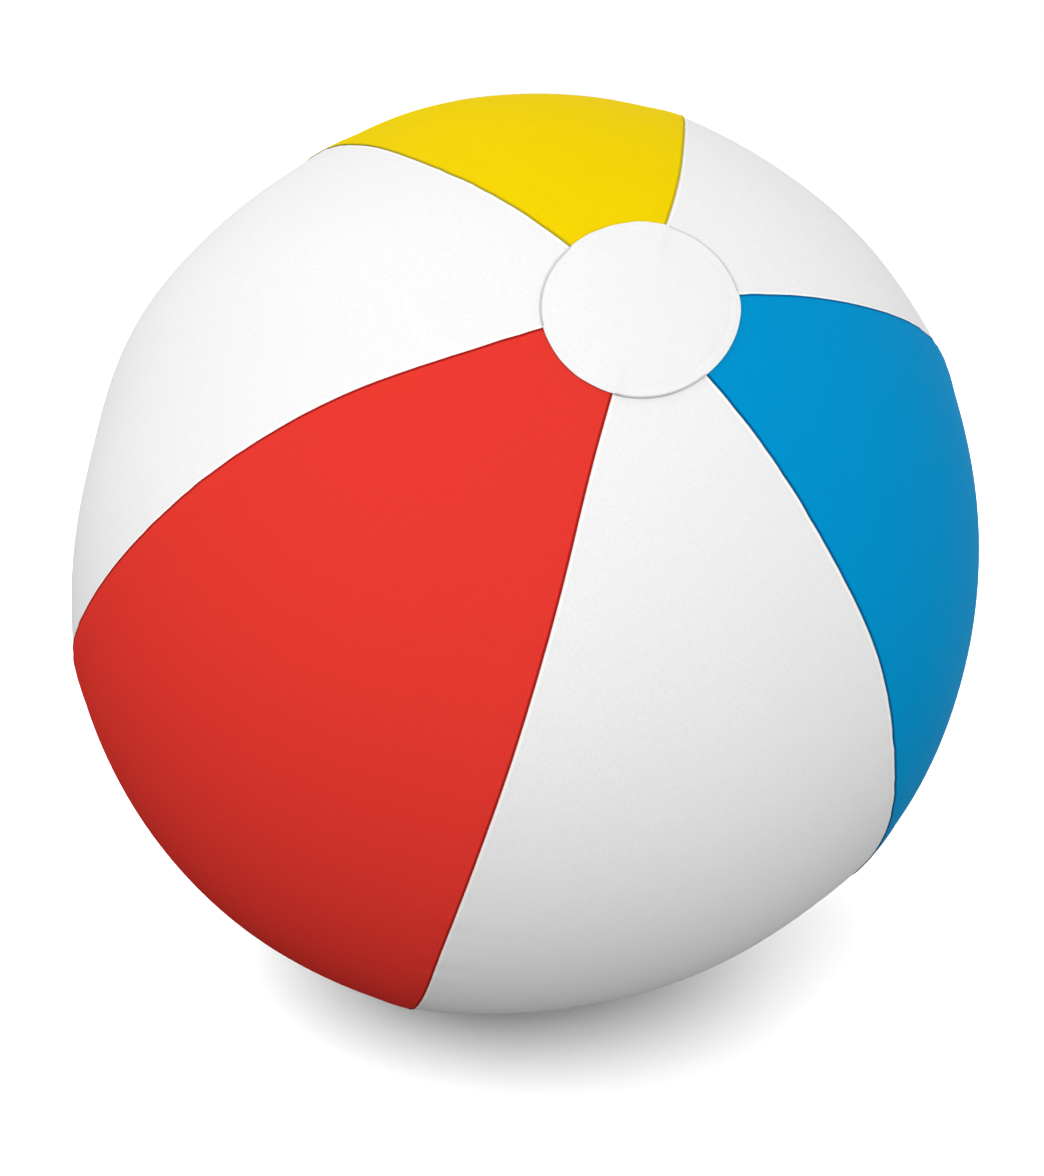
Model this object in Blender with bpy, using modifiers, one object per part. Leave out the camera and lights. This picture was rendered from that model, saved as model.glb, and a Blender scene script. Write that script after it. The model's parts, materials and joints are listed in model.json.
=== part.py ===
"""Inflatable beach ball: six vinyl gores, an end disc at each end and a push-in air valve.

The ball lies as it rests on a floor: +Z is up and the origin is the ball's centre. The ball's
own axis, from the valve end to the front end, leans by LEAN from +Z towards -Y, so the valve
is low down behind. Lengths are in metres.
"""

import math

import bmesh
import bpy
from mathutils import Vector

# ---- The ball -----------------------------------------------------------------------------
BALL_RADIUS = 0.175                  # at the widest circle, between the two ends
END_STRETCH = 1.02                   # length from end to end over the width
FILM = 0.0003                        # thickness of the vinyl film
GAP = 0.0003                         # clearance between two layers of film
LEAN = math.radians(50.0)            # of the ball's axis, from +Z towards -Y

# ---- The gores ----------------------------------------------------------------------------
GORE_NAMES = ["panel_white_right", "panel_yellow", "panel_white_left",
              "panel_red", "panel_white_front", "panel_blue"]
GORE_COUNT = len(GORE_NAMES)
FIRST_SEAM = math.radians(7.1)       # longitude of the seam where the first gore starts
LAP = 0.005                          # the white gores run this far under the coloured ones
JOGGLE = 0.0015                      # width of the step down from the lap
TIP_RADIUS = 0.025                   # the gores end here, under the end discs
ROWS = 24                            # faces along a gore
COLUMNS = 7                          # faces across a gore, between its laps
CORNER_RISE = 0.0025                 # a gore is this much flatter across than a true sphere

# How far each seam wanders from its even place, in degrees round the ball: a value for every
# 15 degrees along the seam, the first of them 15 degrees from the front end.
SEAM_DRIFT = [
    [0.7, 0.6, 1.6, 1.9, 1.7, 1.6, 1.5, 1.4, 1.4, 1.4, 1.4],
    [-5.2, -3.3, -2.7, -2.4, -2.1, -1.8, -1.6, -1.5, -1.5, -1.5, -1.5],
    [-1.8, -2.5, -5.7, -7.9, -6.8, -5.6, -4.5, -3.6, -3.2, -3.1, -3.1],
    [2.6, 0.8, 1.2, 2.2, 2.5, 1.8, 1.7, 1.7, 1.7, 1.7, 1.7],
    [-0.7, 0.8, 1.2, 1.1, 1.2, 1.8, 2.0, 1.9, 1.8, 1.7, 1.6],
    [-0.5, -1.0, -0.4, -1.0, -0.4, -0.2, -0.3, -0.4, -0.5, -0.5, -0.5],
]
DRIFT_STEP = math.radians(15)

# The gores are not equally full of air. Height of the film over an even ball, in millimetres,
# at every 15 degrees round the ball. It fades out towards the two ends.
FULLNESS = [-0.2, 0.6, 1.5, 1.0, 0.6, 0.5, 0.0, -1.3, -5.1, -4.2, -2.4, -4.8,
            -2.6, 0.8, 3.1, 4.0, 3.1, 1.5, 0.2, 0.0, -0.6, 0.8, 0.4, 0.0]
FULL_FROM = math.radians(15)
FULL_AT = math.radians(55)

# ---- The flat that the ball rests on ------------------------------------------------------
RESTING_GORE = "panel_white_front"
REST_DEPTH = 0.0016                  # height of the flat above a true ball's lowest point

# ---- The end discs ------------------------------------------------------------------------
DISC_RADIUS = 0.0317
# The front disc isn't quite round or in the middle. Waves of its outline in millimetres, as
# (cosine, sine), for one, two and three waves round the disc.
FRONT_OUTLINE = [(2.3, 0.5), (0.6, 2.5), (-0.1, 0.4)]
DISC_LIFT = 2 * (FILM + GAP)         # the discs lie over the laps of the gores
VALVE_OPENING = 0.016                # radius of the hole in the valve end disc
DISC_SIDES = 48
DISC_RINGS = 4
MERGE = 0.00001                      # points closer than this are one point

# ---- The valve, in a frame at the valve end whose +Z points out of the ball ----------------
TUBE_RADIUS = 0.0046
BORE_RADIUS = 0.0026
TUBE_INNER_END = -0.006
TUBE_TOP = 0.020
COLLAR_RADIUS = 0.0070
COLLAR_HEIGHT = 0.0025
SKIRT_RADIUS = 0.020                 # of the soft skirt, whose rim is under the valve end disc
SKIRT_RISE = 0.0045                  # the skirt's middle stands this far out when the valve is out
SKIRT_THICKNESS = 0.0005
SEAT_DEPTH = 0.0040                  # of the tapered seat for the plug
MOUTH_RADIUS = 0.0042
VALVE_SIDES = 32
EDGE = 0.0004                        # chamfer of the moulded edges

PLUG_HEAD_RADIUS = 0.0062
PLUG_HEAD_HEIGHT = 0.0020
TAB_REACH = 0.0115                   # from the plug's axis to the end of its pull tab
TAB_WIDTH = 0.0050
TAB_THICKNESS = 0.0012

FOLD = Vector((0.0115, TUBE_TOP - SEAT_DEPTH))   # (x, z) of the fold where the plug swings
FOLD_ROOM = 0.0010                   # the two ends of the strap stop this far from the fold
STRAP_WIDTH = 0.0045
STRAP_THICKNESS = 0.0012
STRAP_STEPS = 8
EAR_ROOT_Z = 0.0105                  # where the strap leaves the tube

FLAP_RADIUS = 0.0048
FLAP_THICKNESS = 0.0006

# ---- Colours: (red, green, blue), roughness -------------------------------------------------
FINISHES = {
    "white": ((0.80, 0.80, 0.80), 0.45),
    "red": ((0.79, 0.03, 0.02), 0.45),
    "yellow": ((0.90, 0.62, 0.003), 0.45),
    "blue": ((0.003, 0.24, 0.56), 0.45),
    "clear": ((0.62, 0.66, 0.70), 0.30),
}


# ---- Scene helpers --------------------------------------------------------------------------

def clear_scene():
    for thing in list(bpy.data.objects):
        bpy.data.objects.remove(thing, do_unlink=True)
    for group in list(bpy.data.collections):
        bpy.data.collections.remove(group)


def make_collection(name):
    group = bpy.data.collections.new(name)
    bpy.context.scene.collection.children.link(group)
    return group


def make_material(name, finish):
    colour, roughness = FINISHES[finish]
    material = bpy.data.materials.new(name + "_vinyl")
    material.use_nodes = True
    shader = material.node_tree.nodes["Principled BSDF"]
    shader.inputs["Base Color"].default_value = (*colour, 1.0)
    shader.inputs["Roughness"].default_value = roughness
    shader.inputs["Metallic"].default_value = 0.0
    material.diffuse_color = (*colour, 1.0)
    return material


def add_empty(name, group, parent=None, location=(0, 0, 0), rotation=(0, 0, 0)):
    empty = bpy.data.objects.new(name, None)
    empty.empty_display_size = 0.02
    empty.parent = parent
    empty.location = location
    empty.rotation_euler = rotation
    group.objects.link(empty)
    return empty


def add_object(name, work, group, parent, finish):
    """Turn a bmesh into an object with its own material."""
    mesh = bpy.data.meshes.new(name)
    work.to_mesh(mesh)
    work.free()
    mesh.materials.append(make_material(name, finish))
    thing = bpy.data.objects.new(name, mesh)
    thing.parent = parent
    group.objects.link(thing)
    return thing


def smooth(thing):
    thing.data.shade_smooth()
    thing.data.set_sharp_from_angle(angle=math.radians(35))


def thicken(thing, thickness, offset=1.0):
    layer = thing.modifiers.new("Film", "SOLIDIFY")
    layer.thickness = thickness
    layer.offset = offset
    layer.use_even_offset = True


def turn(thing, sides):
    screw = thing.modifiers.new("Turn", "SCREW")
    screw.steps = sides
    screw.render_steps = sides
    screw.use_merge_vertices = True
    screw.merge_threshold = MERGE


def join(thing, other):
    """Join a hidden guide shape to an object, as one body."""
    other.hide_render = True
    other.display_type = "WIRE"
    union = thing.modifiers.new("Join " + other.name, "BOOLEAN")
    union.operation = "UNION"
    union.solver = "EXACT"
    union.object = other


# ---- Shape helpers --------------------------------------------------------------------------

def curve(values, place):
    """A smooth curve through values one step apart, which start again after the last."""
    whole = math.floor(place)
    t = place - whole
    a, b, c, d = (values[(whole + step) % len(values)] for step in (-1, 0, 1, 2))
    return b + 0.5 * t * (c - a + t * (2 * a - 5 * b + 4 * c - d + t * (3 * b - a - 3 * c + d)))


def fullness(colatitude, longitude):
    """How far the film stands out from an even ball."""
    height = curve(FULLNESS, longitude / math.tau * len(FULLNESS))
    from_end = min(colatitude, math.pi - colatitude)
    fade = min(1.0, max(0.0, (from_end - FULL_FROM) / (FULL_AT - FULL_FROM)))
    return 0.001 * height * fade * fade * (3 - 2 * fade)


def surface_point(colatitude, longitude, lift=0.0):
    """A point of the film's inner face, raised by lift, with the ball's axis along Z."""
    radial, axial = math.sin(colatitude), math.cos(colatitude)
    normal = Vector((radial * END_STRETCH, axial)).normalized()
    lift += fullness(colatitude, longitude)
    out = BALL_RADIUS * radial + lift * normal.x
    along = BALL_RADIUS * END_STRETCH * axial + lift * normal.y
    return Vector((out * math.cos(longitude), out * math.sin(longitude), along))


def placed_grid(columns, rows, place):
    """A sheet of columns by rows faces, whose points are placed by place(column, row)."""
    work = bmesh.new()
    bmesh.ops.create_grid(work, x_segments=columns, y_segments=rows, size=1.0)
    for vertex in work.verts:
        column = round((vertex.co.x + 1) / 2 * columns)
        row = round((vertex.co.y + 1) / 2 * rows)
        vertex.co = place(column, row)
    return work


def profile_mesh(points, closed):
    """A wire through (radius, height) points, for a Screw modifier to turn."""
    work = bmesh.new()
    corners = [work.verts.new((radius, 0.0, height)) for radius, height in points]
    for first, second in zip(corners, corners[1:] + corners[:1] if closed else corners[1:]):
        work.edges.new((first, second))
    return work


def bezier(start, pull, push, end, steps):
    """Points along a cubic curve from start to end."""
    points = []
    for n in range(steps + 1):
        t = n / steps
        points.append((1 - t) ** 3 * start + 3 * (1 - t) ** 2 * t * pull
                      + 3 * (1 - t) * t ** 2 * push + t ** 3 * end)
    return points


# ---- The gores --------------------------------------------------------------------------------

def seam_longitude(number, colatitude):
    drift = SEAM_DRIFT[number % GORE_COUNT]
    padded = [drift[0]] * 2 + drift + [drift[-1]] * 2
    degrees = curve(padded, colatitude / DRIFT_STEP + 1)
    return FIRST_SEAM + number * math.tau / GORE_COUNT + math.radians(degrees)


def columns_across(over):
    """Where a gore's points lie across it: (share of its width, distance on, lift)."""
    if over:
        lift = FILM + GAP
        start = [(0, 0.0, lift), (0, LAP + GAP, lift), (0, LAP + GAP + JOGGLE, 0.0)]
    else:
        start = [(0, -LAP, 0.0), (0, 0.0, 0.0)]
    inset = start[-1][1]
    shares = [n / COLUMNS for n in range(1, COLUMNS)]
    middle = [(share, inset * (1 - 2 * share), 0.0) for share in shares]
    return start + middle + [(1, -step, lift) for _, step, lift in reversed(start)]


def corner_lift(share, colatitude):
    """The film stands out at the seams and lies in between them, most at the widest circle."""
    off_middle = 1 - abs(abs(2 * share - 1) - 1)
    return CORNER_RISE * (off_middle ** 2 - 1 / 3) * math.sin(colatitude) ** 2


def press_flat(work):
    """Press the lowest part of a sheet up to the level plane that it rests on."""
    up = Vector((0, math.sin(LEAN), math.cos(LEAN)))
    lowest = BALL_RADIUS * math.hypot(up.y, up.z * END_STRETCH)
    level = up * (REST_DEPTH - lowest)
    parts = work.verts[:] + work.edges[:] + work.faces[:]
    bmesh.ops.bisect_plane(work, geom=parts, dist=1e-6, plane_co=level, plane_no=up)
    for vertex in work.verts:
        depth = (level - vertex.co).dot(up)
        if depth > 0:
            vertex.co += up * depth


def make_gore(number, group, parent):
    """One gore, from tip to tip. The coloured gores lie over the edges of the white ones."""
    name = GORE_NAMES[number]
    colour = name.split("_")[1]
    across = columns_across(over=colour != "white")
    tip = math.asin(TIP_RADIUS / BALL_RADIUS)

    def place(column, row):
        colatitude = tip + (math.pi - 2 * tip) * (1 - row / ROWS)
        share, step, lift = across[column]
        start = seam_longitude(number, colatitude)
        width = seam_longitude(number + 1, colatitude) - start
        share += step / (BALL_RADIUS * math.sin(colatitude) * width)
        lift += corner_lift(share, colatitude)
        return surface_point(colatitude, start + share * width, lift)

    work = placed_grid(len(across) - 1, ROWS, place)
    if name == RESTING_GORE:
        press_flat(work)
    gore = add_object(name, work, group, parent, colour)
    thicken(gore, FILM)
    smooth(gore)


# ---- The end discs -----------------------------------------------------------------------------

def disc_outline(waves, longitude):
    return DISC_RADIUS + 0.001 * sum(cosine * math.cos(count * longitude)
                                     + sine * math.sin(count * longitude)
                                     for count, (cosine, sine) in enumerate(waves, start=1))


def make_end_disc(name, opening, waves, group, parent):
    """A round patch over the gore tips, at the +Z end of its parent's frame."""
    def place(ring, side):
        longitude = math.tau * side / DISC_SIDES
        radius = opening + (disc_outline(waves, longitude) - opening) * ring / DISC_RINGS
        return surface_point(math.asin(radius / BALL_RADIUS), longitude, DISC_LIFT)

    work = bmesh.new()
    rings = [[work.verts.new(place(ring, side)) for side in range(DISC_SIDES)]
             for ring in range(DISC_RINGS + 1)]
    for inner, outer in zip(rings, rings[1:]):
        for a, b in zip(range(-1, DISC_SIDES - 1), range(DISC_SIDES)):
            work.faces.new((inner[a], outer[a], outer[b], inner[b]))
    bmesh.ops.remove_doubles(work, verts=work.verts, dist=MERGE)
    disc = add_object(name, work, group, parent, "white")
    thicken(disc, FILM)
    smooth(disc)


# ---- The valve -----------------------------------------------------------------------------------

def skirt_height(radius):
    """Height of the skirt's top: level under the valve end disc, then a cone up to the tube."""
    under_disc = surface_point(math.asin(radius / BALL_RADIUS), 0.0, DISC_LIFT - GAP)
    share = max(0.0, (VALVE_OPENING - GAP - radius) / (VALVE_OPENING - GAP - TUBE_RADIUS))
    return under_disc.z - BALL_RADIUS * END_STRETCH + SKIRT_RISE * share


def make_valve_stem(group, parent, guides):
    """The blowing tube with its collar and soft skirt, and the fixed end of the strap."""
    collar_foot = TUBE_TOP - COLLAR_HEIGHT
    steps = [TUBE_RADIUS, VALVE_OPENING / 2, VALVE_OPENING - GAP, SKIRT_RADIUS]
    skirt_top = [(radius, skirt_height(radius)) for radius in steps]
    skirt_foot = [(radius, height - SKIRT_THICKNESS) for radius, height in reversed(skirt_top)]
    profile = [
        (MOUTH_RADIUS, TUBE_TOP), (COLLAR_RADIUS - EDGE, TUBE_TOP),
        (COLLAR_RADIUS, TUBE_TOP - EDGE), (COLLAR_RADIUS, collar_foot + EDGE),
        (COLLAR_RADIUS - EDGE, collar_foot), (TUBE_RADIUS, collar_foot),
        *skirt_top, *skirt_foot,
        (TUBE_RADIUS, TUBE_INNER_END), (BORE_RADIUS, TUBE_INNER_END),
        (BORE_RADIUS, TUBE_TOP - SEAT_DEPTH),
    ]
    stem = add_object("valve_stem", profile_mesh(profile, closed=True), group, parent, "clear")
    turn(stem, VALVE_SIDES)

    root = Vector(((TUBE_RADIUS + BORE_RADIUS) / 2, EAR_ROOT_Z))
    tip = FOLD - Vector((0.8, 0.6)) * FOLD_ROOM
    ear = make_strap("guide_strap_ear", bezier(root, root.lerp(tip, 0.4) - Vector((0, 0.001)),
                                               tip - Vector((0.002, 0.002)), tip, STRAP_STEPS),
                     guides, parent)
    join(stem, ear)
    smooth(stem)


def make_strap(name, route, group, parent):
    """A flat strap, one width along Y, that follows a route of (x, z) points."""
    def place(column, row):
        point = route[column]
        return Vector((point.x, (row - 0.5) * STRAP_WIDTH, point.y))

    strap = add_object(name, placed_grid(len(route) - 1, 1, place), group, parent, "clear")
    thicken(strap, STRAP_THICKNESS, offset=0.0)
    return strap


def make_plug(group, parent, guides):
    """The tapered plug with its flat head and pull tab."""
    head_foot = TUBE_TOP + GAP
    head_top = head_foot + PLUG_HEAD_HEIGHT
    shank_tip = TUBE_TOP - SEAT_DEPTH
    profile = [
        (0.0, head_top), (PLUG_HEAD_RADIUS - EDGE, head_top),
        (PLUG_HEAD_RADIUS, head_top - EDGE), (PLUG_HEAD_RADIUS, head_foot),
        (MOUTH_RADIUS - GAP, head_foot), (MOUTH_RADIUS - GAP, TUBE_TOP),
        (BORE_RADIUS - GAP, shank_tip), (0.0, shank_tip),
    ]
    plug = add_object("valve_plug", profile_mesh(profile, closed=False), group, parent, "clear")
    turn(plug, VALVE_SIDES)

    work = bmesh.new()
    bmesh.ops.create_cube(work, size=1.0)
    inner_end = -PLUG_HEAD_RADIUS / 2
    bmesh.ops.scale(work, verts=work.verts,
                    vec=(inner_end + TAB_REACH, TAB_WIDTH, TAB_THICKNESS))
    bmesh.ops.translate(work, verts=work.verts,
                        vec=((inner_end - TAB_REACH) / 2, 0, head_foot + PLUG_HEAD_HEIGHT / 2))
    join(plug, add_object("guide_pull_tab", work, guides, parent, "clear"))
    smooth(plug)


def make_plug_strap(group, parent):
    """The swinging end of the strap, from its fold up to the edge of the plug's head."""
    start = FOLD + Vector((0, FOLD_ROOM))
    end = Vector((PLUG_HEAD_RADIUS + GAP, TUBE_TOP + GAP + PLUG_HEAD_HEIGHT / 2))
    corner = Vector((start.x, end.y))
    strap = make_strap("plug_strap", bezier(start, corner, corner, end, STRAP_STEPS),
                       group, parent)
    smooth(strap)


def make_check_flap(group, parent):
    """The round flap under the tube's inner end, which air pressure keeps shut."""
    top = TUBE_INNER_END - GAP
    work = bmesh.new()
    bmesh.ops.create_cone(work, cap_ends=True, segments=VALVE_SIDES, radius1=FLAP_RADIUS,
                          radius2=FLAP_RADIUS, depth=FLAP_THICKNESS)
    bmesh.ops.translate(work, verts=work.verts, vec=(FLAP_RADIUS, 0, 0))
    hinge = add_empty("flap_hinge", group, parent,
                      location=(-FLAP_RADIUS, 0, top - FLAP_THICKNESS / 2))
    smooth(add_object("check_flap", work, group, hinge, "clear"))


# ---- The whole ball ---------------------------------------------------------------------------------

def main():
    clear_scene()
    ball = make_collection("inflatable_beach_ball")
    guides = make_collection("cutters")
    ball_axis = add_empty("ball_axis", ball, rotation=(LEAN, 0, 0))
    valve_axis = add_empty("valve_axis", ball, ball_axis, rotation=(math.pi, 0, 0))
    valve_end = add_empty("valve_end", ball, valve_axis,
                          location=(0, 0, BALL_RADIUS * END_STRETCH))

    for number in range(GORE_COUNT):
        make_gore(number, ball, ball_axis)
    make_end_disc("front_end_disc", 0.0, FRONT_OUTLINE, ball, ball_axis)
    make_end_disc("valve_end_disc", VALVE_OPENING, [], ball, valve_axis)
    make_valve_stem(ball, valve_end, guides)
    make_plug(ball, valve_end, guides)
    make_plug_strap(ball, valve_end)
    make_check_flap(ball, valve_end)


main()
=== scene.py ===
"""The looks of the inflatable beach ball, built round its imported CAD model.

The film gores, the end discs and the valve are modelled again as fine meshes in the places
that the CAD model gives. Lengths are in metres and +Z is up. "Ball frame" means the frame whose
+Z is the ball's own axis, from the valve end to the front end, with its origin at the centre.
"Valve frame" means the frame at the valve end of that axis whose +Z points out of the ball.
"""

import json
import math

import bmesh
import bpy
import numpy as np
from mathutils import Matrix, Vector


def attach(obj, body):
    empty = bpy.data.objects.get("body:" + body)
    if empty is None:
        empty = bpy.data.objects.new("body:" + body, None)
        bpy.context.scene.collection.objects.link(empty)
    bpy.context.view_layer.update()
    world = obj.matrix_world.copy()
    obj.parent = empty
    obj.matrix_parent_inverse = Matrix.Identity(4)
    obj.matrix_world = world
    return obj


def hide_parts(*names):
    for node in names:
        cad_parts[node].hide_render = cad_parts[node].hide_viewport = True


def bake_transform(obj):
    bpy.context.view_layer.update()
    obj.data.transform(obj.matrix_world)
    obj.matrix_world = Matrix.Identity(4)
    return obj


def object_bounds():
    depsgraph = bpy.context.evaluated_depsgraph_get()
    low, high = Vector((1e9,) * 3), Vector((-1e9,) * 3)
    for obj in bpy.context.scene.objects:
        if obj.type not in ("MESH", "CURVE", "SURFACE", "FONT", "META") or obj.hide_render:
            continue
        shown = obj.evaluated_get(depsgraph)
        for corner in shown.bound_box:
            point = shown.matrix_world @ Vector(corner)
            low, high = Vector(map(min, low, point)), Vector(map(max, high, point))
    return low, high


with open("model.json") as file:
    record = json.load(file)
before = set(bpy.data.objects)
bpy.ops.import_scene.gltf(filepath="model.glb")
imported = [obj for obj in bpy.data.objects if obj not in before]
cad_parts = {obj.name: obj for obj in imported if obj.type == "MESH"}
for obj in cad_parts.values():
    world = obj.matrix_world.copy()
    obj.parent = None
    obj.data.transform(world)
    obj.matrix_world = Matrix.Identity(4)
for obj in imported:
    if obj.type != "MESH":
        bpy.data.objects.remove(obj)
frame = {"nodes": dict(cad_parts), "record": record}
CAD_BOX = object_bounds()

# ---- Sizes, as in the CAD model -------------------------------------------------------------
BALL_RADIUS = 0.175
END_STRETCH = 1.02
FILM = 0.0003
LAP = 0.005
TIP_RADIUS = 0.025
CORNER_RISE = 0.0025
DISC_RADIUS = 0.0317
FRONT_OUTLINE = [(2.3, 0.5), (0.6, 2.5), (-0.1, 0.4)]   # (cosine, sine) of 1, 2 and 3 waves, in mm
VALVE_OPENING = 0.016

TUBE_RADIUS = 0.0046
BORE_RADIUS = 0.0026
TUBE_INNER_END = -0.006
TUBE_TOP = 0.020
COLLAR_RADIUS = 0.0070
COLLAR_HEIGHT = 0.0025
SKIRT_RADIUS = 0.020
SKIRT_RISE = 0.0045
SKIRT_THICKNESS = 0.0005
SEAT_DEPTH = 0.0040
MOUTH_RADIUS = 0.0042
PLUG_GAP = 0.0003
PLUG_HEAD_RADIUS = 0.0062
PLUG_HEAD_HEIGHT = 0.0020
TAB_REACH = 0.0115
TAB_WIDTH = 0.0050
TAB_THICKNESS = 0.0012
STRAP_WIDTH = 0.0045
STRAP_THICKNESS = 0.0012
EAR_ROOT_Z = 0.0105

FIRST_SEAM = math.radians(7.1)
# Degrees round the ball that each seam is off its even place, at every 15 degrees along it
SEAM_DRIFT = np.array([
    [0.7, 0.6, 1.6, 1.9, 1.7, 1.6, 1.5, 1.4, 1.4, 1.4, 1.4],
    [-5.2, -3.3, -2.7, -2.4, -2.1, -1.8, -1.6, -1.5, -1.5, -1.5, -1.5],
    [-1.8, -2.5, -5.7, -7.9, -6.8, -5.6, -4.5, -3.6, -3.2, -3.1, -3.1],
    [2.6, 0.8, 1.2, 2.2, 2.5, 1.8, 1.7, 1.7, 1.7, 1.7, 1.7],
    [-0.7, 0.8, 1.2, 1.1, 1.2, 1.8, 2.0, 1.9, 1.8, 1.7, 1.6],
    [-0.5, -1.0, -0.4, -1.0, -0.4, -0.2, -0.3, -0.4, -0.5, -0.5, -0.5],
])
DRIFT_STEP = math.radians(15)
# Height of the film over an even ball, in millimetres, at every 15 degrees round the ball
FULLNESS = np.array([-0.2, 0.6, 1.5, 1.0, 0.6, 0.5, 0.0, -1.3, -5.1, -4.2, -2.4, -4.8,
                     -2.6, 0.8, 3.1, 4.0, 3.1, 1.5, 0.2, 0.0, -0.6, 0.8, 0.4, 0.0])
FULL_FROM = math.radians(15)
FULL_AT = math.radians(55)
GORE_NAMES = ["panel_white_right", "panel_yellow", "panel_white_left",
              "panel_red", "panel_white_front", "panel_blue"]
GORE_COUNT = len(GORE_NAMES)
RESTING_GORE = "panel_white_front"

# ---- Fineness and surface detail ------------------------------------------------------------
GORE_ROWS = 160
GORE_COLUMNS = 40
CLOSE = 0.00006                      # clearance between two welded layers of film
JOGGLE = 0.0100                      # width of the step down beside a lap
WELD_MIDDLE = 0.0024                 # of the pressed weld line, from the coloured edge
WELD_WIDTH = 0.0022
WELD_DEPTH = 0.00012
PUCKER_HEIGHT = 0.00010
PUCKER_REACH = 0.011                 # how far the puckers run from a seam
PUCKER_WAVES = ((1.0, 0.0131, 0.0), (0.7, 0.0083, 1.1), (0.8, 0.0217, 2.3))  # height, length, phase
SEAM_SHARE = 0.42                    # most of a gore's width that the columns by one seam take
FILM_CREASE = 50                     # degrees between faces from which an edge of film is sharp
MOULDED_CREASE = 40

# ---- The joints, which give the ball's axis and the fold of the plug's strap ----------------
JOINTS = {joint["name"]: joint for joint in frame["record"]["behaviour"]["joints"]}
INWARD = Vector(JOINTS["valve_push_in"]["axis"]).normalized()
LEAN = math.atan2(-INWARD.y, INWARD.z)
BALL_FRAME = Matrix.Rotation(LEAN, 4, "X")
VALVE_FRAME = (BALL_FRAME @ Matrix.Rotation(math.pi, 4, "X")
               @ Matrix.Translation((0, 0, BALL_RADIUS * END_STRETCH)))
FOLD = VALVE_FRAME.inverted() @ Vector(JOINTS["plug_swing"]["pos_m"])


# ---- Mesh helpers ---------------------------------------------------------------------------

def smoothstep(low, high, value):
    t = np.clip((np.asarray(value, float) - low) / (high - low), 0.0, 1.0)
    return t * t * (3 - 2 * t)


def ridge(value, middle, width):
    """A smooth bump of height 1 and of this width round the middle."""
    t = np.clip(np.abs(np.asarray(value, float) - middle) / (width / 2), 0.0, 1.0)
    return (1 - t * t) ** 2


def curve(values, place):
    """A smooth curve through values one step apart, which start again after the last."""
    whole = np.floor(place).astype(int)
    t = place - whole
    a, b, c, d = (values[(whole + step) % len(values)] for step in (-1, 0, 1, 2))
    return b + 0.5 * t * (c - a + t * (2 * a - 5 * b + 4 * c - d + t * (3 * b - a - 3 * c + d)))


def fullness(colatitude, longitude):
    """How far the film stands out from an even ball."""
    height = curve(FULLNESS, longitude / math.tau * len(FULLNESS))
    from_end = np.minimum(colatitude, math.pi - colatitude)
    return 0.001 * height * smoothstep(FULL_FROM, FULL_AT, from_end)


def surface(colatitude, longitude, lift=0.0):
    """Points of the film's inner face in the ball frame, raised by lift."""
    radial, axial = np.sin(colatitude), np.cos(colatitude)
    length = np.hypot(radial * END_STRETCH, axial)
    lift = lift + fullness(colatitude, longitude)
    out = BALL_RADIUS * radial + lift * radial * END_STRETCH / length
    along = BALL_RADIUS * END_STRETCH * axial + lift * axial / length
    return np.stack([out * np.cos(longitude), out * np.sin(longitude), along], axis=-1)


def add_object(name, data):
    thing = bpy.data.objects.new(name, data)
    bpy.context.scene.collection.objects.link(thing)
    return thing


def sheet_object(name, points, closed_round=False, edge=None):
    """An open sheet through a grid of points. edge is stored as an attribute of the points."""
    rows, columns = points.shape[:2]
    index = np.arange(rows * columns).reshape(rows, columns)
    if closed_round:
        index = np.concatenate([index, index[:, :1]], axis=1)
    faces = np.stack([index[:-1, :-1], index[1:, :-1], index[1:, 1:], index[:-1, 1:]], axis=-1)
    mesh = bpy.data.meshes.new(name)
    mesh.from_pydata(points.reshape(-1, 3).tolist(), [], faces.reshape(-1, 4).tolist())
    if edge is not None:
        layer = mesh.attributes.new("edge", "FLOAT", "POINT")
        layer.data.foreach_set("value", np.asarray(edge, np.float32).ravel())
    mesh.shade_smooth()
    return add_object(name, mesh)


def thicken(thing):
    """Give a sheet the film's thickness, on its outer side."""
    layer = thing.modifiers.new("Film", "SOLIDIFY")
    layer.thickness = FILM
    layer.offset = 1.0
    layer.use_even_offset = True
    layer.use_rim = True


def bake(thing, matrix=None):
    """Apply an object's modifiers and place its points in the world."""
    depsgraph = bpy.context.evaluated_depsgraph_get()
    mesh = bpy.data.meshes.new_from_object(thing.evaluated_get(depsgraph), depsgraph=depsgraph)
    thing.modifiers.clear()
    thing.data = mesh
    if matrix is not None:
        mesh.transform(matrix)
    mesh.update()


def crease_sharp_edges(thing, degrees):
    thing.data.shade_smooth()
    thing.data.set_sharp_from_angle(angle=math.radians(degrees))


# ---- Materials ------------------------------------------------------------------------------

NOISE_RANGE = (0.3, 0.7)             # where most of a noise texture's values lie
MIX_FIRST, MIX_SECOND, MIX_RESULT = 6, 7, 2   # a Mix node's sockets for colours
GRAIN_SCALE, MOTTLE_SCALE, PEEL_SCALE = 1500.0, 14.0, 160.0
FILM_ROUGHNESS = 0.8
FILM_SPECULAR = 0.01
PVC_COLOUR = (0.78, 0.84, 0.88)
PVC_ROUGHNESS = 0.32
PVC_CLOUD_SCALE, PVC_GRAIN_SCALE = 220.0, 2600.0


def node(tree, kind, **values):
    """Add a node. A value goes to the socket of that name, or else to the node's setting."""
    made = tree.nodes.new(kind)
    for key, value in values.items():
        if key in made.inputs:
            made.inputs[key].default_value = value
        else:
            setattr(made, key, value)
    return made


def noise(tree, place, scale, detail=2.0):
    made = node(tree, "ShaderNodeTexNoise", Scale=scale, Detail=detail)
    tree.links.new(place, made.inputs["Vector"])
    return made.outputs["Fac"]


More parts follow.
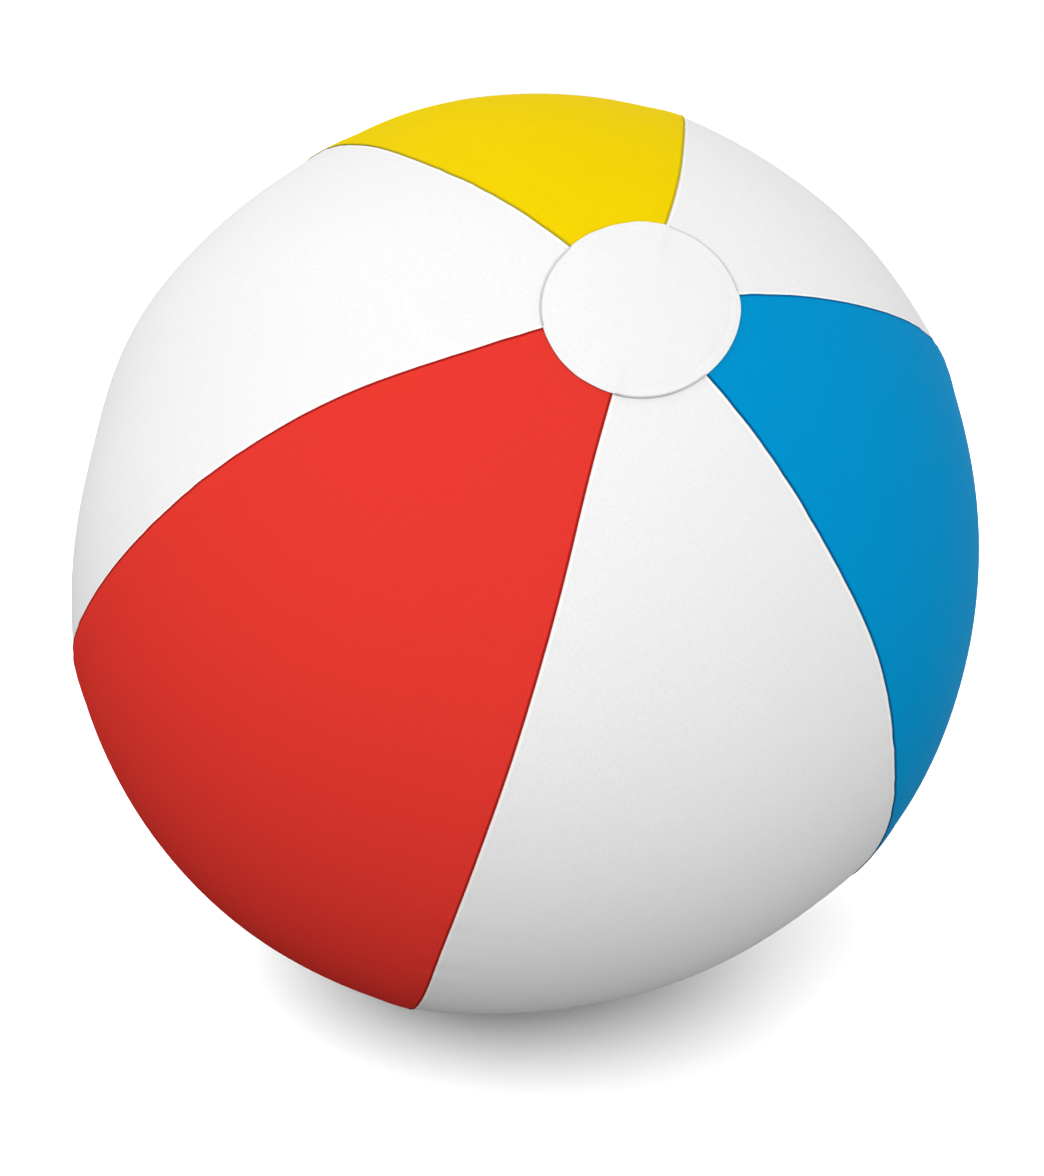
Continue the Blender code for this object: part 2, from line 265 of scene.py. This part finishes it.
def ranged(tree, value, from_min, from_max, to_min, to_max):
    made = node(tree, "ShaderNodeMapRange")
    tree.links.new(value, made.inputs["Value"])
    for key, number in (("From Min", from_min), ("From Max", from_max),
                        ("To Min", to_min), ("To Max", to_max)):
        made.inputs[key].default_value = number
    return made.outputs["Result"]


def spread(tree, noise_value, to_min, to_max):
    return ranged(tree, noise_value, *NOISE_RANGE, to_min, to_max)


def shaded(colour, factor):
    return tuple(min(1.0, channel * factor) for channel in colour)


def mixed(tree, factor, first, second):
    """Mix two colours, each a socket or an (r, g, b) value."""
    made = node(tree, "ShaderNodeMix", data_type="RGBA")
    tree.links.new(factor, made.inputs["Factor"])
    for socket, colour in ((made.inputs[MIX_FIRST], first), (made.inputs[MIX_SECOND], second)):
        if isinstance(colour, tuple):
            socket.default_value = (*colour, 1.0)
        else:
            tree.links.new(colour, socket)
    return made.outputs[MIX_RESULT]


def vinyl(name, colour, line_and_painted_light_colour, line_from, line_to):
    """Satin film: faint mottling and grain, and a thin line beside its seams and edges: on the
    coloured films a darker tone of their own colour, on the white film a painted highlight, and on
    the end discs a painted shadow.

    The line lies where the mesh's edge attribute is between line_from and line_to.
    """
    material = bpy.data.materials.new(name)
    material.use_nodes = True
    tree = material.node_tree
    shader = tree.nodes["Principled BSDF"]
    place = node(tree, "ShaderNodeTexCoord").outputs["Object"]
    grain = noise(tree, place, GRAIN_SCALE, 1.0)
    mottle = noise(tree, place, MOTTLE_SCALE, 3.0)
    peel = noise(tree, place, PEEL_SCALE, 2.0)

    toned = mixed(tree, spread(tree, grain, 0.0, 1.0), shaded(colour, 0.955), shaded(colour, 1.03))
    clouded = mixed(tree, ranged(tree, mottle, 0.35, 0.65, 0.0, 0.35), toned,
                    shaded(colour, 0.965))
    # A thin line along the edge: a darker tone of the film on the coloured films, a painted
    # highlight on the white film and a painted shadow on the end discs.
    edge = node(tree, "ShaderNodeAttribute", attribute_name="edge").outputs["Fac"]
    rise = ranged(tree, edge, line_from - 0.0002, line_from + 0.0001, 0.0, 1.0)
    fall = ranged(tree, edge, line_to - 0.0001, line_to + 0.0003, 1.0, 0.0)
    both = node(tree, "ShaderNodeMath", operation="MULTIPLY")
    tree.links.new(rise, both.inputs[0])
    tree.links.new(fall, both.inputs[1])
    tree.links.new(mixed(tree, both.outputs["Value"], clouded, line_and_painted_light_colour),
                   shader.inputs["Base Color"])

    tree.links.new(spread(tree, peel, FILM_ROUGHNESS - 0.04, FILM_ROUGHNESS + 0.04),
                   shader.inputs["Roughness"])
    shader.inputs["Specular IOR Level"].default_value = FILM_SPECULAR
    fine = node(tree, "ShaderNodeBump", Strength=0.35, Distance=0.00003)
    tree.links.new(grain, fine.inputs["Height"])
    broad = node(tree, "ShaderNodeBump", Strength=0.5, Distance=0.00006)
    tree.links.new(peel, broad.inputs["Height"])
    tree.links.new(fine.outputs["Normal"], broad.inputs["Normal"])
    tree.links.new(broad.outputs["Normal"], shader.inputs["Normal"])
    return material


def soft_pvc(name):
    """Moulded translucent PVC, slightly cloudy."""
    material = bpy.data.materials.new(name)
    material.use_nodes = True
    tree = material.node_tree
    shader = tree.nodes["Principled BSDF"]
    place = node(tree, "ShaderNodeTexCoord").outputs["Object"]
    cloud = noise(tree, place, PVC_CLOUD_SCALE, 2.0)
    grain = noise(tree, place, PVC_GRAIN_SCALE, 1.0)
    tree.links.new(mixed(tree, spread(tree, cloud, 0.0, 1.0), PVC_COLOUR, shaded(PVC_COLOUR, 0.93)),
                   shader.inputs["Base Color"])
    tree.links.new(spread(tree, cloud, PVC_ROUGHNESS - 0.06, PVC_ROUGHNESS + 0.08),
                   shader.inputs["Roughness"])
    shader.inputs["Subsurface Weight"].default_value = 0.4
    shader.inputs["Subsurface Scale"].default_value = 0.003
    shader.inputs["Subsurface Radius"].default_value = (1.0, 1.0, 1.0)
    shader.inputs["IOR"].default_value = 1.52
    fine = node(tree, "ShaderNodeBump", Strength=0.3, Distance=0.00004)
    tree.links.new(grain, fine.inputs["Height"])
    tree.links.new(fine.outputs["Normal"], shader.inputs["Normal"])
    return material


WHITE = (0.72, 0.72, 0.72)
RED = (0.63, 0.033, 0.024)
YELLOW = (0.72, 0.525, 0.001)
BLUE = (0.0003, 0.240, 0.51)
LINE_WIDTH = 0.0007
BEFORE_EDGE = -0.001                 # the line starts before the film does, so at its very edge

FILMS = {
    # The white film's light line beside the coloured films' edges is a painted highlight; the
    # coloured films' lines are a darker tone of their own colour.
    "white": vinyl("white_film", WHITE, (0.84, 0.83, 0.80), -0.0002, 0.0009),
    "red": vinyl("red_film", RED, (0.30, 0.010, 0.008), BEFORE_EDGE, LINE_WIDTH),
    "yellow": vinyl("yellow_film", YELLOW, (0.42, 0.33, 0.004), BEFORE_EDGE, LINE_WIDTH),
    "blue": vinyl("blue_film", BLUE, (0.001, 0.10, 0.26), BEFORE_EDGE, LINE_WIDTH),
}
# The disc film's grey line is a painted shadow of the step at the disc's edge and round the valve
# opening.
DISC_FILM_WITH_PAINTED_SHADOW = vinyl("disc_film_with_painted_shadow", WHITE, (0.47, 0.47, 0.47), BEFORE_EDGE, 0.0004)
PVC = soft_pvc("moulded_pvc")


# ---- The gores ------------------------------------------------------------------------------

def seam_longitude(number, colatitude):
    """Where the seam before this gore lies round the ball."""
    drift = np.pad(SEAM_DRIFT[number % GORE_COUNT], 2, mode="edge")
    degrees = curve(drift, np.asarray(colatitude) / DRIFT_STEP + 1)
    return FIRST_SEAM + number * math.tau / GORE_COUNT + np.radians(degrees)


def corner_lift(share, colatitude):
    """A gore is flatter across than a sphere, so that its seams stand out as slight corners."""
    off_middle = 1 - np.abs(np.abs(2 * share - 1) - 1)
    return CORNER_RISE * (off_middle ** 2 - 1 / 3) * np.sin(colatitude) ** 2


def puckers(number, colatitude, distance):
    """Small ripples across a seam, where the weld has drawn the film in."""
    along = BALL_RADIUS * colatitude
    wave = sum(height * np.sin(math.tau * along / length + 1.7 * number + phase)
               for height, length, phase in PUCKER_WAVES)
    swell = 0.55 + 0.45 * np.sin(along / 0.019 + 2.1 * number)
    reach = np.exp(-np.abs(distance) / PUCKER_REACH)
    return PUCKER_HEIGHT * wave * swell * reach


def gore_columns(over):
    """Distances from the seam for the columns near it, closest together at the edge."""
    if over:
        return [0.0, 0.0003, 0.0006, 0.0009, 0.0013, 0.0018, 0.0024, 0.0030, 0.0035,
                0.0040, 0.0046, 0.0053, 0.0061, 0.0070, 0.0080, 0.0092, 0.0106, 0.0122,
                0.0140, 0.0160]
    return [-0.0050, -0.0035, -0.0020, -0.0010, -0.0004, 0.0, 0.0004, 0.0008, 0.0012,
            0.0018, 0.0026, 0.0036, 0.0050, 0.0070, 0.0095]


def gore_lift(over, distance):
    """Height of a gore's film by its distance from the seam, without the ball's own shape."""
    if not over:
        return np.zeros_like(distance)
    lap = (FILM + CLOSE) * (1 - smoothstep(LAP, LAP + JOGGLE, distance))
    return lap - WELD_DEPTH * 0.3 * ridge(distance, WELD_MIDDLE, WELD_WIDTH)


def make_gore(number):
    name = GORE_NAMES[number]
    colour = name.split("_")[1]
    over = colour != "white"
    near = np.array(gore_columns(over))
    inset = near[-1]
    shares = np.linspace(0.0, 1.0, GORE_COLUMNS + 1)[1:-1]

    tip = math.asin(TIP_RADIUS / BALL_RADIUS)
    colatitude = np.linspace(tip, math.pi - tip, GORE_ROWS + 1)[:, None]
    around = BALL_RADIUS * np.sin(colatitude)
    start = seam_longitude(number, colatitude)
    width = seam_longitude(number + 1, colatitude) - start
    across = width * around
    # Near the tips the gore is narrow, so the columns beside the seams draw together.
    squeeze = np.minimum(1.0, SEAM_SHARE * across / inset)
    first = near[None, :] * np.where(near[None, :] > LAP, squeeze, 1.0)
    first = np.maximum.accumulate(first, axis=1)
    inner = first[:, -1:]
    middle = inner + (across - 2 * inner) * shares[None, :]
    place = np.concatenate([first, middle, (across - first)[:, ::-1]], axis=1)

    distance = np.minimum(place, across - place)
    lift = gore_lift(over, distance) + corner_lift(place / across, colatitude)
    side = np.where(place < across / 2, number, number + 1) % GORE_COUNT
    for seam in (number, (number + 1) % GORE_COUNT):
        signed = place if seam == number else across - place
        lift = lift + np.where(side == seam, 1.0, 0.0) * puckers(seam, colatitude, signed)
    points = surface(colatitude, start + place / around, lift)

    if name == RESTING_GORE:
        points = press_flat(points)
    gore = sheet_object(name + "_film", points[:, ::-1], edge=distance[:, ::-1])
    thicken(gore)
    bake(gore, BALL_FRAME)
    gore.data.materials.append(FILMS[colour])
    crease_sharp_edges(gore, FILM_CREASE)
    gore.visible_diffuse = False
    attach(gore, "ball")
    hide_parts(name)


def press_flat(points):
    """Press the lowest part of a gore up to the level that the CAD model rests on."""
    up = np.array([0.0, math.sin(LEAN), math.cos(LEAN)])
    level = CAD_BOX[0].z + FILM
    height = points @ up
    short = np.maximum(level - height, 0.0)
    return points + short[..., None] * up


# ---- The end discs --------------------------------------------------------------------------

DISC_SPOKES = 192
DISC_STEP = 0.0007
DISC_CENTRE = 0.00005                # radius of the tiny ring that is merged into the middle
DISC_DOME = 0.0004                   # height of the disc's middle over the ball
DISC_RIPPLE = 0.00006
RIPPLE_COUNT = 23
DISC_WELD = 0.0032                   # of the pressed weld ring, from the disc's edge
DISC_WELD_WIDTH = 0.0022
SKIRT_WELD = 0.0180                  # radius of the weld between the valve's skirt and its disc
SKIRT_WELD_WIDTH = 0.0020
NO_PAINTED_SHADOW = 0.0020                     # added to the edge attribute where the disc's painted shadow is not to be seen


def disc_outline(waves, longitude):
    """The disc's radius round the ball: the waves make it oval and off centre."""
    waviness = np.zeros_like(longitude)
    for count, (cosine, sine) in enumerate(waves, start=1):
        waviness = waviness + cosine * np.cos(count * longitude) + sine * np.sin(count * longitude)
    return DISC_RADIUS + 0.001 * waviness


def disc_lift(radius, longitude, end, inset):
    """The disc lies on the gores and rides over the raised edges of the coloured ones."""
    colatitude = np.arcsin(radius / BALL_RADIUS)
    true_colatitude = colatitude if end > 0 else math.pi - colatitude
    lift = np.full_like(radius * longitude, FILM + CLOSE)
    for number in range(GORE_COUNT):
        over_after = "white" not in GORE_NAMES[number]
        seam = seam_longitude(number, true_colatitude)
        turn = (longitude - seam + math.pi) % math.tau - math.pi
        place = turn * radius * (1 if over_after else -1)
        lap = smoothstep(-0.0030, 0.0, place) * (1 - smoothstep(LAP, LAP + JOGGLE, place))
        lift = lift + (FILM + CLOSE) * lap * smoothstep(0.017, TIP_RADIUS, radius)
    weld = ridge(inset, DISC_WELD, DISC_WELD_WIDTH)
    dome = DISC_DOME * (1 - smoothstep(0.010, DISC_RADIUS - 0.002, radius))
    ripple = (DISC_RIPPLE * np.sin(longitude * RIPPLE_COUNT + 2.0 * end)
              * smoothstep(0.022, 0.030, radius))
    if end < 0:
        weld = weld + ridge(radius, SKIRT_WELD, SKIRT_WELD_WIDTH)
    return lift - WELD_DEPTH * weld + dome + ripple


def over_colour(longitude, end):
    """1 where the disc's edge lies on a coloured gore, 0 where it lies on a white one."""
    colatitude = math.asin(DISC_RADIUS / BALL_RADIUS)
    colatitude = np.array([[colatitude if end > 0 else math.pi - colatitude]])
    covered = np.zeros_like(longitude)
    for number in range(GORE_COUNT):
        if "white" not in GORE_NAMES[number]:
            start = seam_longitude(number, colatitude)
            width = seam_longitude(number + 1, colatitude) - start
            covered = np.where((longitude - start) % math.tau < width, 1.0, covered)
    return covered


def make_end_disc(name, end, opening, waves):
    """A disc over the gores' tips. end is 1 at the front and -1 at the valve."""
    rings = round((DISC_RADIUS - opening) / DISC_STEP)
    share = np.linspace(0.0, 1.0, rings + 1)[:, None]
    spokes = np.linspace(0.0, math.tau, DISC_SPOKES, endpoint=False)[None, :]
    outline = disc_outline(waves, spokes)
    radius = np.maximum(opening + (outline - opening) * share, DISC_CENTRE)
    lift = disc_lift(radius, spokes, end, outline - radius)
    colatitude = np.arcsin(radius / BALL_RADIUS)
    points = surface(colatitude if end > 0 else math.pi - colatitude, spokes, lift)
    # The disc's painted shadow beside its edge shows only where white film lies on white film, and
    # all round the valve opening.
    edge = outline - radius + NO_PAINTED_SHADOW * over_colour(spokes, end)
    if opening > 0:
        edge = np.minimum(edge, radius - opening)
    if end < 0:
        points, edge = points[:, ::-1], edge[:, ::-1]
    disc = sheet_object(name + "_film", points, closed_round=True, edge=edge)
    if opening == 0:
        cap_middle(disc, DISC_SPOKES)
    thicken(disc)
    bake(disc, BALL_FRAME)
    disc.data.materials.append(DISC_FILM_WITH_PAINTED_SHADOW)
    crease_sharp_edges(disc, FILM_CREASE)
    disc.visible_diffuse = False
    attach(disc, "ball")
    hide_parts(name)


def cap_middle(thing, count):
    """Close the tiny hole in the middle of a round sheet by merging its first ring."""
    work = bmesh.new()
    work.from_mesh(thing.data)
    work.verts.ensure_lookup_table()
    bmesh.ops.pointmerge(work, verts=work.verts[:count],
                         merge_co=sum((v.co for v in work.verts[:count]), Vector()) / count)
    work.to_mesh(thing.data)
    work.free()


for gore_number in range(GORE_COUNT):
    make_gore(gore_number)
make_end_disc("front_end_disc", 1, 0.0, FRONT_OUTLINE)
make_end_disc("valve_end_disc", -1, VALVE_OPENING, [])


# ---- The valve ------------------------------------------------------------------------------

TURN_STEPS = 72
SOFT_EDGE = 0.00025                  # rounding of the moulded edges
FOLD_THICKNESS = 0.0005              # of the strap where it folds


def turned(name, profile, closed):
    """A solid of revolution about the valve's axis, from (radius, height) points."""
    count = len(profile)
    edges = [(i, (i + 1) % count) for i in range(count if closed else count - 1)]
    mesh = bpy.data.meshes.new(name)
    mesh.from_pydata([(radius, 0, height) for radius, height in profile], edges, [])
    thing = add_object(name, mesh)
    screw = thing.modifiers.new("Turn", "SCREW")
    screw.steps = screw.render_steps = TURN_STEPS
    screw.use_merge_vertices = True
    screw.merge_threshold = 0.000001
    return thing


def soften(thing, width=SOFT_EDGE):
    edge = thing.modifiers.new("Soft edges", "BEVEL")
    edge.width = width
    edge.segments = 3
    edge.limit_method = "ANGLE"
    edge.angle_limit = math.radians(25)


def finish_moulding(thing, body=None, stands_for=()):
    """Place a piece of the valve in the world and give it its material."""
    bake(thing, VALVE_FRAME)
    work = bmesh.new()
    work.from_mesh(thing.data)
    bmesh.ops.recalc_face_normals(work, faces=work.faces)
    work.to_mesh(thing.data)
    work.free()
    thing.data.materials.clear()
    thing.data.materials.append(PVC)
    crease_sharp_edges(thing, MOULDED_CREASE)
    if body:
        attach(thing, body)
    if stands_for:
        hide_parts(*stands_for)


def make_tube():
    foot = TUBE_TOP - COLLAR_HEIGHT
    tube = turned("valve_tube", [
        (MOUTH_RADIUS, TUBE_TOP), (COLLAR_RADIUS, TUBE_TOP), (COLLAR_RADIUS, foot),
        (TUBE_RADIUS + 0.0008, foot), (TUBE_RADIUS + 0.0001, foot - 0.0010),
        (TUBE_RADIUS, foot - 0.0030), (TUBE_RADIUS, 0.0090),
        (TUBE_RADIUS + 0.0002, 0.0076), (TUBE_RADIUS + 0.0009, 0.0062),
        (TUBE_RADIUS + 0.0009, 0.0040), (TUBE_RADIUS, 0.0034),
        (TUBE_RADIUS, TUBE_INNER_END), (BORE_RADIUS, TUBE_INNER_END),
        (BORE_RADIUS, TUBE_TOP - SEAT_DEPTH),
    ], closed=True)
    soften(tube)
    finish_moulding(tube, "valve", ["valve_stem"])


def make_skirt():
    """The soft cone between the disc and the tube, in the shape it has at rest; it does not move
    with the tube.
    """
    hem = VALVE_OPENING - 0.0003
    radii = np.concatenate([np.linspace(TUBE_RADIUS - 0.0002, hem, 26),
                            np.linspace(VALVE_OPENING, SKIRT_RADIUS, 6)])
    share = np.clip((hem - radii) / (hem - TUBE_RADIUS), 0, 1)
    level = surface(np.arcsin(radii / BALL_RADIUS), 0.0)[:, 2] - BALL_RADIUS * END_STRETCH
    fold = 0.00025 * np.sin(share * math.tau * 2.0) * np.sin(share * math.pi)
    top = level + 0.00025 + SKIRT_RISE * share + fold
    profile = [(r, z) for r, z in zip(radii, top)]
    profile += [(r, z - SKIRT_THICKNESS) for r, z in zip(radii[::-1], top[::-1])]
    skirt = turned("valve_skirt", profile, closed=True)
    finish_moulding(skirt)
    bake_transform(skirt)


def bezier(points, steps):
    start, pull, push, end = (np.array(point) for point in points)
    t = np.linspace(0.0, 1.0, steps + 1)[:, None]
    return ((1 - t) ** 3 * start + 3 * (1 - t) ** 2 * t * pull
            + 3 * (1 - t) * t ** 2 * push + t ** 3 * end)


def make_strap():
    """One soft strap from the tube, through its fold, to the edge of the plug's head."""
    fold = np.array((FOLD.x, FOLD.z))
    root = np.array((TUBE_RADIUS - 0.0004, EAR_ROOT_Z))
    before = fold - np.array((0.0008, 0.0010))
    after = fold + np.array((0.0, 0.0010))
    head = np.array((PLUG_HEAD_RADIUS - 0.0003, TUBE_TOP + PLUG_GAP + PLUG_HEAD_HEIGHT / 2))
    corner = np.array((after[0], head[1]))
    route = np.concatenate([
        bezier([root, root + (0.0028, 0.0008), before - (0.0022, 0.0022), before], 22)[:-1],
        bezier([before, before + (0.0005, 0.0006), after - (0.0, 0.0005), after], 10)[:-1],
        bezier([after, corner, corner, head], 26),
    ])
    along = np.gradient(route, axis=0)
    along /= np.linalg.norm(along, axis=1)[:, None]
    normal = np.stack([-along[:, 1], along[:, 0]], axis=1)
    near_fold = 1 - smoothstep(0.0005, 0.0022, np.linalg.norm(route - fold, axis=1))
    half = (STRAP_THICKNESS - (STRAP_THICKNESS - FOLD_THICKNESS) * near_fold) / 2
    angles = np.linspace(0.0, math.tau, 24, endpoint=False)
    squared = 1 / (np.abs(np.cos(angles)) ** 5 + np.abs(np.sin(angles)) ** 5) ** (1 / 5)
    across = STRAP_WIDTH / 2 * np.cos(angles) * squared
    through = np.sin(angles) * squared
    points = np.zeros((len(route), len(angles), 3))
    points[..., 0] = route[:, :1] + normal[:, :1] * half[:, None] * through
    points[..., 1] = across
    points[..., 2] = route[:, 1:] + normal[:, 1:] * half[:, None] * through
    strap = sheet_object("tether_strap", points, closed_round=True)
    work = bmesh.new()
    work.from_mesh(strap.data)
    bmesh.ops.holes_fill(work, edges=[edge for edge in work.edges if edge.is_boundary])
    work.to_mesh(strap.data)
    work.free()
    finish_moulding(strap, stands_for=["plug_strap"])
    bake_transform(strap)


def make_plug():
    foot = TUBE_TOP + PLUG_GAP
    top = foot + PLUG_HEAD_HEIGHT
    tip = TUBE_TOP - SEAT_DEPTH
    plug = turned("stopper_plug", [
        (0.0, top - 0.0006), (0.0030, top - 0.0006), (0.0038, top), (PLUG_HEAD_RADIUS, top),
        (PLUG_HEAD_RADIUS, foot), (MOUTH_RADIUS - PLUG_GAP, foot),
        (MOUTH_RADIUS - PLUG_GAP, TUBE_TOP), (BORE_RADIUS - PLUG_GAP + 0.0003, tip + 0.0006),
        (BORE_RADIUS - PLUG_GAP - 0.0003, tip), (0.0, tip),
    ], closed=False)
    tab = make_tab((foot + top) / 2)
    join = plug.modifiers.new("Pull tab", "BOOLEAN")
    join.operation = "UNION"
    join.solver = "EXACT"
    join.object = tab
    soften(plug, 0.0002)
    finish_moulding(plug, "plug", ["valve_plug"])
    bpy.data.objects.remove(tab)


def make_tab(middle):
    """The pull tab: a flat tongue with a rounded end and three grip ribs."""
    half, reach = TAB_WIDTH / 2, TAB_REACH - TAB_WIDTH / 2
    angles = np.linspace(-math.pi / 2, math.pi / 2, 13)
    outline = [(-reach - half * math.cos(a), half * math.sin(a)) for a in angles]
    outline += [(-PLUG_HEAD_RADIUS / 2, half), (-PLUG_HEAD_RADIUS / 2, -half)]
    work = bmesh.new()
    face = work.faces.new([work.verts.new((x, y, middle - TAB_THICKNESS / 2)) for x, y in outline])
    rise = bmesh.ops.extrude_face_region(work, geom=[face])
    bmesh.ops.translate(work, vec=(0, 0, TAB_THICKNESS),
                        verts=[v for v in rise["geom"] if isinstance(v, bmesh.types.BMVert)])
    for rib in range(3):
        place = Matrix.Translation((-0.0079 - 0.0011 * rib, 0, middle + TAB_THICKNESS / 2))
        size = Matrix.Diagonal((0.0005, TAB_WIDTH * 0.62, 0.0005, 1.0))
        bmesh.ops.create_cube(work, size=1.0, matrix=place @ size)
    bmesh.ops.recalc_face_normals(work, faces=work.faces)
    mesh = bpy.data.meshes.new("pull_tab")
    work.to_mesh(mesh)
    work.free()
    return add_object("pull_tab", mesh)


make_tube()
make_skirt()
make_strap()
make_plug()
for flap_slot in frame["nodes"]["check_flap"].material_slots:
    flap_slot.material = PVC


# ---- The studio -----------------------------------------------------------------------------

FLOOR_SIZE = 60.0
FLOOR_GAP = 0.00005                  # between the floor and the ball's flat
CAMERA_AZIMUTH = math.radians(-14.9)
CAMERA_ELEVATION = math.radians(15.0)
CAMERA_DISTANCE = 4 * BALL_RADIUS
LENS = 54.2
AIM_DOWN = math.radians(1.04)        # the ball sits a little above the middle of the frame

LAMP_SIZE = math.radians(90)         # apparent size, which softens the shadows
# Soft lamps: (name, azimuth in degrees, elevation in degrees, strength)
LAMPS = [("key_light", -11, 18, 3.78),
         ("right_back_light", 123, 9, 2.68),
         ("left_back_light", -126, 39, 2.50)]
# These light the floor alone, to a plain white with a close, soft shadow.
FLOOR_LAMPS = [("floor_front_light", -15, 45, 1.60),
               ("floor_left_light", -90, 30, 2.00),
               ("floor_right_light", 90, 30, 1.48)]


def direction(azimuth, elevation):
    """Towards this azimuth from the front, and this elevation, both in radians."""
    level = math.cos(elevation)
    return Vector((math.sin(azimuth) * level, -math.cos(azimuth) * level, math.sin(elevation)))


def make_floor():
    half = FLOOR_SIZE / 2
    z = CAD_BOX[0].z - FLOOR_GAP
    mesh = bpy.data.meshes.new("studio_floor")
    corners = [(-half, -half, z), (half, -half, z), (half, half, z), (-half, half, z)]
    mesh.from_pydata(corners, [], [(0, 1, 2, 3)])
    floor = add_object("studio_floor", mesh)
    material = bpy.data.materials.new("studio_floor")
    material.use_nodes = True
    tree = material.node_tree
    shader = tree.nodes["Principled BSDF"]
    place = node(tree, "ShaderNodeTexCoord").outputs["Object"]
    tone = spread(tree, noise(tree, place, 3.0), 0.0, 1.0)
    tree.links.new(mixed(tree, tone, (0.97, 0.97, 0.97), (0.98, 0.98, 0.98)),
                   shader.inputs["Base Color"])
    shader.inputs["Roughness"].default_value = 0.9
    shader.inputs["Specular IOR Level"].default_value = 0.0
    # From below, the floor is clear, so that the ball's underside can be seen.
    clear = node(tree, "ShaderNodeBsdfTransparent")
    facing = node(tree, "ShaderNodeMixShader")
    tree.links.new(node(tree, "ShaderNodeNewGeometry").outputs["Backfacing"], facing.inputs[0])
    tree.links.new(shader.outputs[0], facing.inputs[1])
    tree.links.new(clear.outputs[0], facing.inputs[2])
    tree.links.new(facing.outputs[0], tree.nodes["Material Output"].inputs["Surface"])
    mesh.materials.append(material)
    floor.visible_diffuse = False
    floor.visible_glossy = False
    floor.visible_shadow = False
    return floor


def make_sun(name, azimuth, elevation, strength):
    light = bpy.data.lights.new(name, "SUN")
    light.energy = strength
    light.angle = LAMP_SIZE
    light.cycles.use_multiple_importance_sampling = False
    lamp = add_object(name, light)
    towards = direction(math.radians(azimuth), math.radians(elevation))
    lamp.rotation_mode = "QUATERNION"
    lamp.rotation_quaternion = towards.to_track_quat("Z", "Y")
    return lamp


def make_world():
    """A plain white background behind the floor, which gives no light of its own."""
    world = bpy.data.worlds.new("studio")
    world.use_nodes = True
    tree = world.node_tree
    light = tree.nodes["Background"]
    light.inputs["Color"].default_value = (1.0, 1.0, 1.0, 1.0)
    light.inputs["Strength"].default_value = 0.0
    backdrop = node(tree, "ShaderNodeBackground", Strength=1.0)
    backdrop.inputs["Color"].default_value = (1.0, 1.0, 1.0, 1.0)
    seen = node(tree, "ShaderNodeLightPath").outputs["Is Camera Ray"]
    mix = node(tree, "ShaderNodeMixShader")
    tree.links.new(seen, mix.inputs[0])
    tree.links.new(light.outputs[0], mix.inputs[1])
    tree.links.new(backdrop.outputs[0], mix.inputs[2])
    tree.links.new(mix.outputs[0], tree.nodes["World Output"].inputs["Surface"])
    bpy.context.scene.world = world


def make_camera():
    data = bpy.data.cameras.new("camera")
    data.lens = LENS
    data.sensor_width = 36.0
    camera = add_object("camera", data)
    back = direction(CAMERA_AZIMUTH, CAMERA_ELEVATION)
    camera.location = back * CAMERA_DISTANCE
    facing = (-back).to_track_quat("-Z", "Y").to_matrix()
    tilt = Matrix.Rotation(-AIM_DOWN, 3, "X")
    camera.rotation_euler = (facing @ tilt).to_euler()
    bpy.context.scene.camera = camera


lit_floor = bpy.data.collections.new("lit_floor")
lit_floor.objects.link(make_floor())
make_world()
for values in LAMPS:
    make_sun(*values)
for values in FLOOR_LAMPS:
    make_sun(*values).light_linking.receiver_collection = lit_floor
make_camera()
bpy.context.scene.view_settings.view_transform = "Standard"
bpy.context.scene.view_settings.look = "None"
